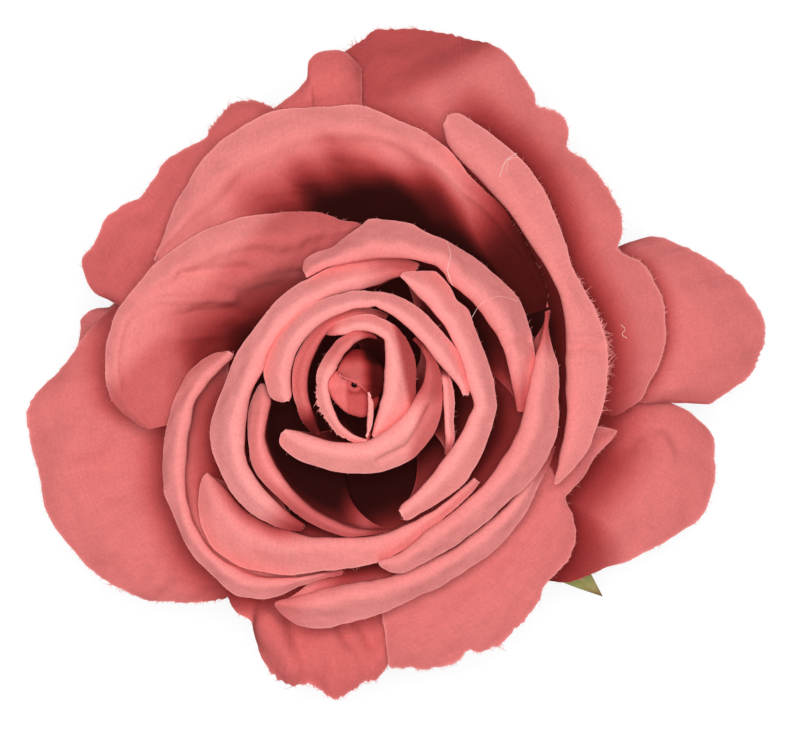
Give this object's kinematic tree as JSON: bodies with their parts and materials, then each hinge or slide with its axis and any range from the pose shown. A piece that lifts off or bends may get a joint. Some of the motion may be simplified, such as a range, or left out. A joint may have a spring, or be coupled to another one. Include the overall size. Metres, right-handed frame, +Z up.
{
  "type": "artificial fabric rose flower head",
  "caption": "Artificial rose flower head of stiffened coral cloth petals with frayed edges, glued round a post on a green calyx.",
  "frame": {"origin": "centre of the flat foot of the calyx, on the axis of the bud", "axes": "+Z up along the axis of the bud, out of the bloom's face; +X along the bloom's long side; +Y towards its back"},
  "size_m": [0.1052, 0.0949, 0.048],
  "materials": {
    "petal_cloth": "matt plain weave with frayed cut edges",
    "bud_cloth": "matt plain weave",
    "sepal_cloth": "matt stiffened cloth, brown at the tip",
    "calyx_plastic": "moulded, matt"
  },
  "bodies": {
    "root": {"calyx_cup": "calyx_plastic", "core_post": "calyx_plastic", "sepals": "sepal_cloth", "bud": "bud_cloth", "bud_wrap": "petal_cloth", "heart_petal_left": "petal_cloth", "heart_petal_right": "petal_cloth", "heart_petal_back": "petal_cloth", "heart_petal_front": "petal_cloth", "inner_petal_right_small": "petal_cloth", "inner_petal_back": "petal_cloth", "inner_petal_left_small": "petal_cloth", "inner_petal_right": "petal_cloth", "inner_petal_left": "petal_cloth", "middle_petal_upper_right": "petal_cloth", "middle_petal_front": "petal_cloth", "middle_petal_lower_right": "petal_cloth", "middle_petal_left": "petal_cloth", "middle_petal_bottom": "petal_cloth", "broad_petal_left": "petal_cloth", "broad_petal_top": "petal_cloth", "broad_petal_right": "petal_cloth", "guard_petal_bottom_right": "petal_cloth", "guard_petal_top": "petal_cloth", "guard_petal_top_right": "petal_cloth", "guard_petal_top_left": "petal_cloth", "guard_petal_left": "petal_cloth", "guard_petal_bottom_left": "petal_cloth", "guard_petal_right": "petal_cloth", "guard_petal_right_lower": "petal_cloth", "guard_petal_left_under": "petal_cloth"}
  },
  "joints": []
}
